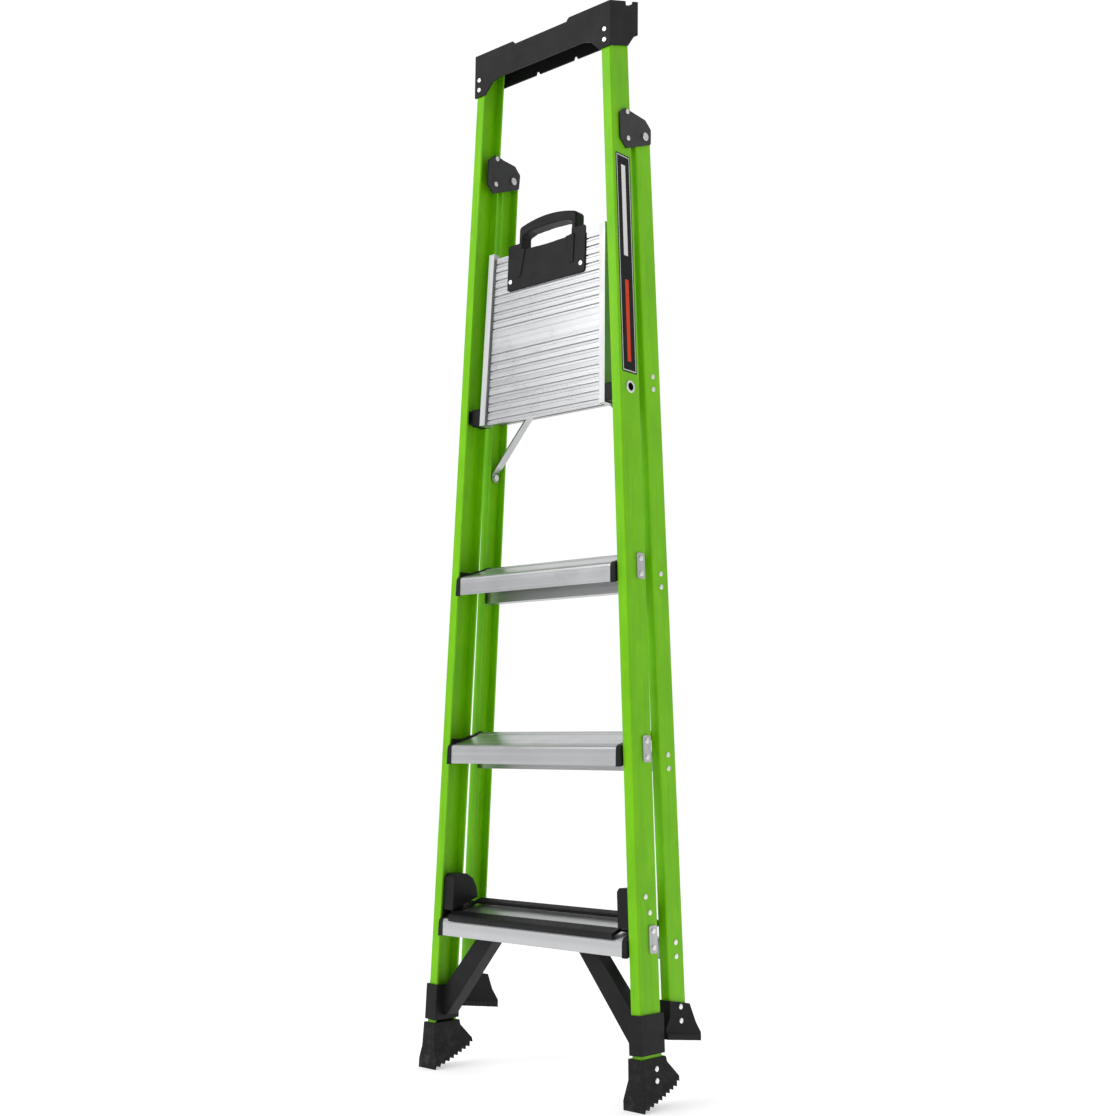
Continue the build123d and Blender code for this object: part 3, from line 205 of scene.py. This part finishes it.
def rubber():
    """Feet: dull black rubber, greyed with dust towards the ground."""
    s = Surface("black_rubber", IOR=1.5, Specular_IOR_Level=0.15)
    grain = s.noise(s.place, 1100.0, detail=3.0)
    dust = s.noise(s.place, 70.0, detail=6.0, rough=0.7)
    height = s.node("ShaderNodeSeparateXYZ", [("Vector", s.place)]).outputs["Z"]
    low = s.spread(height, 0.0, 0.12, 1.0, 0.15)
    share = s.sum(s.spread(dust, 0.48, 0.78, 0.0, 0.55), low, "MULTIPLY")
    base = s.blend(share, (0.014, 0.014, 0.015), (0.105, 0.102, 0.096))
    roughness = s.spread(s.sum(grain, dust), 0.7, 1.3, 0.55, 0.82)
    return s.finish(base, roughness, s.bump(grain, 0.00010, 0.55))


def coated_steel():
    """Hinge plates: charcoal powder coat with a soft orange peel."""
    s = Surface("black_steel", IOR=1.5, Specular_IOR_Level=0.25, Coat_Weight=0.04, Coat_Roughness=0.35)
    peel = s.noise(s.place, 620.0, detail=2.0)
    cloud = s.noise(s.place, 55.0, detail=4.0)
    speckle = s.noise(s.place, 2400.0, detail=1.0)
    base = s.blend(s.spread(cloud, 0.35, 0.7, 0.0, 1.0), (0.028, 0.028, 0.030), (0.044, 0.044, 0.047))
    base = s.blend(s.spread(speckle, 0.66, 0.78, 0.0, 0.4), base, (0.07, 0.07, 0.074))
    roughness = s.spread(s.sum(peel, cloud), 0.7, 1.3, 0.38, 0.54)
    return s.finish(base, roughness, s.bump(peel, 0.00012, 0.55))


def label():
    """Printed film: black, a thin light border, one light and one red bar."""
    s = Surface("label_film", IOR=1.5, Specular_IOR_Level=0.1, Coat_Weight=0.03, Coat_Roughness=0.2)
    low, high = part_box("rail_label")
    split = s.node("ShaderNodeSeparateXYZ", [("Vector", s.place)])
    across = s.spread(split.outputs["Y"], low.y, high.y, 0.0, 1.0)
    along = s.spread(split.outputs["Z"], low.z, high.z, 0.0, 1.0)

    def inside(value, start, end):
        above = s.sum(value, start, "GREATER_THAN")
        below = s.sum(value, end, "LESS_THAN")
        return s.sum(above, below, "MULTIPLY")

    def patch(a, b, c, d):
        return s.sum(inside(across, a, b), inside(along, c, d), "MULTIPLY")

    grime = s.noise(s.place, 120.0, detail=5.0)
    base = s.blend(s.spread(grime, 0.3, 0.75, 0.0, 1.0), (0.006, 0.006, 0.007), (0.014, 0.014, 0.016))
    frame_outside, frame_inside = patch(0.05, 0.95, 0.006, 0.994), patch(0.095, 0.905, 0.011, 0.989)
    border = s.sum(frame_outside, frame_inside, "SUBTRACT")
    base = s.blend(border, base, (0.62, 0.62, 0.62))
    base = s.blend(patch(0.36, 0.64, 0.53, 0.95), base, (0.78, 0.78, 0.78))
    base = s.blend(patch(0.38, 0.62, 0.05, 0.42), base, (0.72, 0.055, 0.012))
    roughness = s.spread(grime, 0.3, 0.75, 0.22, 0.40)
    return s.finish(base, roughness, s.bump(grime, 0.00002, 0.4))


SATIN, SATIN_DARK = (0.56, 0.565, 0.575), (0.42, 0.425, 0.44)
materials = {
    "fibreglass": fibreglass(),
    "deck_aluminium": aluminium("deck_aluminium", (5, 900, 900), SATIN, SATIN_DARK, 0.30),
    "side_rail_aluminium": aluminium(
        "side_rail_aluminium", (800, 800, 4), (0.58, 0.585, 0.59), (0.48, 0.485, 0.50), 0.42
    ),
    "tread_aluminium": aluminium("tread_aluminium", (4, 900, 900), SATIN, (0.46, 0.465, 0.48), 0.34),
    "plate_aluminium": aluminium(
        "plate_aluminium", (700, 700, 12), (0.58, 0.58, 0.585), (0.48, 0.48, 0.49), 0.40
    ),
    "brace_aluminium": aluminium(
        "brace_aluminium", (6, 600, 600), (0.50, 0.505, 0.515), (0.40, 0.405, 0.42), 0.38
    ),
    "strut_aluminium": aluminium(
        "strut_aluminium", (160, 160, 14), (0.54, 0.545, 0.55), (0.44, 0.445, 0.46), 0.36
    ),
    "rivet_aluminium": bright_metal("rivet_aluminium", (0.90, 0.90, 0.91), (0.70, 0.70, 0.72), 0.24),
    "bright_steel": bright_metal("bright_steel", (0.80, 0.80, 0.81), (0.58, 0.58, 0.61), 0.28),
    "black_plastic": moulded("black_plastic", (0.015, 0.015, 0.016), (0.010, 0.010, 0.011), 0.44),
    "cap_plastic": moulded(
        "cap_plastic", (0.018, 0.018, 0.019), (0.013, 0.013, 0.014), 0.50, 1100.0, 0.00009
    ),
    "black_rubber": rubber(),
    "black_steel": coated_steel(),
    "label_film": label(),
}

SLOTS = {
    "fibreglass": ("front_rail", "rear_rail"),
    "deck_aluminium": ("platform_plank",),
    "side_rail_aluminium": ("platform_side_rail",),
    "tread_aluminium": ("tread_1", "tread_2", "tread_3"),
    "plate_aluminium": ("tread_plates",),
    "brace_aluminium": ("rear_brace", "strut_bracket"),
    "strut_aluminium": ("strut_right", "strut_left"),
    "rivet_aluminium": (
        "tread_rivets", "front_foot_rivets", "rear_foot_rivets", "rear_brace_rivets", "hinge_rivets",
        "cue_rivets", "handle_rivets", "top_cap_rivets", "strut_pins", "pivot_eyelet",
    ),
    "bright_steel": ("hinge_pin", "cue_springs"),
    "black_plastic": (
        "tread_1_end_cap", "tread_2_end_cap", "tread_3_end_cap", "corner_brace", "cue_housing",
        "cue_pad", "platform_pivot_block", "platform_handle",
    ),
    "cap_plastic": ("top_cap",),
    "black_rubber": ("front_foot", "rear_foot"),
    "black_steel": ("hinge_plate",),
    "label_film": ("rail_label",),
}


def slot_of(node):
    """The slot whose longest name the node's own name starts with."""
    fitting = []
    for slot, starts in SLOTS.items():
        fitting += [(len(start), slot) for start in starts if node.startswith(start)]
    return max(fitting)[1]


for name, node in nodes.items():
    finish = materials[slot_of(name)]
    if not node.material_slots:
        node.data.materials.append(finish)
    for held in node.material_slots:
        held.material = finish


# ---------------------------------------------------------------------------
# Softened edges on the CAD nodes
# ---------------------------------------------------------------------------
def soften(node, width, segments=2):
    """Round a node's sharp edges with modifiers; its own mesh stays as it is."""
    weld = node.modifiers.new("weld", "WELD")
    weld.merge_threshold = 0.000005
    bevel = node.modifiers.new("bevel", "BEVEL")
    bevel.width = width
    bevel.segments = segments
    bevel.limit_method = "ANGLE"
    bevel.angle_limit = math.radians(38)
    bevel.miter_outer = "MITER_ARC"
    normals = node.modifiers.new("normals", "WEIGHTED_NORMAL")
    normals.weight = 60


EDGES = {
    "top_cap": 0.0007, "cue_housing": 0.0006, "corner_brace": 0.0007, "front_foot_": 0.0008,
    "rear_foot_": 0.0008, "platform_pivot_block": 0.0006, "hinge_plate": 0.0005, "tread_plates": 0.0004,
}
for name, node in nodes.items():
    for start, width in EDGES.items():
        if name.startswith(start) and not name.endswith("rivets"):
            soften(node, width)


# ---------------------------------------------------------------------------
# Carrying handle: one smooth moulding in place of the plain solid
# ---------------------------------------------------------------------------
def remeshed(source, voxel, rounds):
    """A moulded copy of a node: every edge rounded over, on its own fine mesh."""
    piece = bpy.data.objects.new(source + "_moulding", nodes[source].data.copy())
    bpy.context.scene.collection.objects.link(piece)
    mesh = bmesh.new()
    mesh.from_mesh(piece.data)
    bmesh.ops.remove_doubles(mesh, verts=mesh.verts, dist=0.000005)
    mesh.to_mesh(piece.data)
    mesh.free()
    remesh = piece.modifiers.new("remesh", "REMESH")
    remesh.mode = "VOXEL"
    remesh.voxel_size = voxel
    remesh.use_smooth_shade = True
    smooth = piece.modifiers.new("smooth", "SMOOTH")
    smooth.factor = 0.5
    smooth.iterations = rounds
    bpy.context.view_layer.update()
    evaluated = piece.evaluated_get(bpy.context.evaluated_depsgraph_get())
    final = bpy.data.meshes.new_from_object(evaluated)
    piece.modifiers.clear()
    piece.data = final
    piece.data.materials.clear()
    piece.data.materials.append(materials[slot_of(source)])
    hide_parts(source)
    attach(piece, body_of[source])
    slot_of(source)
    return piece


HANDLE_VOXEL, HANDLE_SMOOTHING = 0.0009, 6
remeshed("platform_handle", HANDLE_VOXEL, HANDLE_SMOOTHING)


# ---------------------------------------------------------------------------
# Pivot eyelets: a black sleeve lines each bore
# ---------------------------------------------------------------------------
SLEEVE_WALL, SLEEVE_INSET, SLEEVE_SIDES = 0.0009, 0.0006, 48


def sleeve(source, bore):
    """A closed tube, just inside the bore of an eyelet that points along X."""
    low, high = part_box(source)
    middle = (low + high) / 2
    near, far = low.x + SLEEVE_INSET, high.x - SLEEVE_INSET
    lining = bore - SLEEVE_WALL
    turns = [2 * math.pi * i / SLEEVE_SIDES for i in range(SLEEVE_SIDES)]
    mesh = bmesh.new()
    rings = []
    for x, radius in ((near, bore), (far, bore), (far, lining), (near, lining)):
        places = [(x, middle.y + radius * math.cos(t), middle.z + radius * math.sin(t)) for t in turns]
        rings.append([mesh.verts.new(p) for p in places])
    for ring, following in zip(rings, rings[1:] + rings[:1]):
        for i in range(SLEEVE_SIDES):
            j = (i + 1) % SLEEVE_SIDES
            mesh.faces.new((ring[i], ring[j], following[j], following[i]))
    bmesh.ops.recalc_face_normals(mesh, faces=mesh.faces)
    data = bpy.data.meshes.new(source + "_sleeve")
    mesh.to_mesh(data)
    mesh.free()
    piece = bpy.data.objects.new(source + "_sleeve", data)
    bpy.context.scene.collection.objects.link(piece)
    data.materials.append(materials["black_plastic"])
    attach(piece, body_of[source])


EYELET_BORE = 0.0068
for name in list(nodes):
    if name.startswith("pivot_eyelet"):
        sleeve(name, EYELET_BORE)


# ---------------------------------------------------------------------------
# Floor, light and surroundings
# ---------------------------------------------------------------------------
def make_floor():
    """A wide pale floor with the faintest mottle."""
    mesh = bmesh.new()
    bmesh.ops.create_grid(mesh, x_segments=8, y_segments=8, size=30.0)
    data = bpy.data.meshes.new("floor")
    mesh.to_mesh(data)
    mesh.free()
    floor = bpy.data.objects.new("floor", data)
    bpy.context.scene.collection.objects.link(floor)
    s = Surface("floor", Emission_Color=(1.0, 1.0, 1.0, 1.0), Emission_Strength=0.42)
    cloud = s.noise(s.place, 1.3, detail=4.0)
    base = s.blend(cloud, (0.90, 0.90, 0.90), (0.94, 0.94, 0.94))
    data.materials.append(s.finish(base, s.spread(cloud, 0.0, 1.0, 0.85, 0.95), s.bump(cloud, 0.0005, 0.1)))


def soft_light(name, place, target, size, power):
    data = bpy.data.lights.new(name, "AREA")
    data.size = size
    data.energy = power
    lamp = bpy.data.objects.new(name, data)
    bpy.context.scene.collection.objects.link(lamp)
    lamp.location = place
    lamp.rotation_euler = (Vector(target) - Vector(place)).to_track_quat("-Z", "Y").to_euler()


MIDDLE, BELOW_MIDDLE = (0.0, 0.0, 1.0), (0.0, 0.0, 0.9)
make_floor()
soft_light("key", (-1.3, -3.4, 2.9), MIDDLE, 2.2, 62.0)
soft_light("fill", (3.6, -0.9, 1.9), BELOW_MIDDLE, 2.6, 8.0)

def make_world(behind, in_front):
    """White ahead of the camera and dimmer behind it, as in a real studio."""
    world = bpy.data.worlds.new("studio")
    bpy.context.scene.world = world
    world.use_nodes = True
    tree = world.node_tree
    sky = tree.nodes["Background"]
    direction = tree.nodes.new("ShaderNodeTexCoord").outputs["Generated"]
    along = tree.nodes.new("ShaderNodeVectorMath")
    along.operation = "DOT_PRODUCT"
    tree.links.new(direction, along.inputs[0])
    along.inputs[1].default_value = (-math.sin(YAW), math.cos(YAW), 0.0)
    strength = tree.nodes.new("ShaderNodeMapRange")
    ranges = {"From Min": -0.3, "From Max": 0.6, "To Min": behind, "To Max": in_front}
    for socket, value in ranges.items():
        strength.inputs[socket].default_value = value
    tree.links.new(along.outputs["Value"], strength.inputs["Value"])
    tree.links.new(strength.outputs["Result"], sky.inputs["Strength"])
    sky.inputs["Color"].default_value = (1.0, 1.0, 1.0, 1.0)


DIM, WHITE = 0.36, 1.02
make_world(DIM, WHITE)
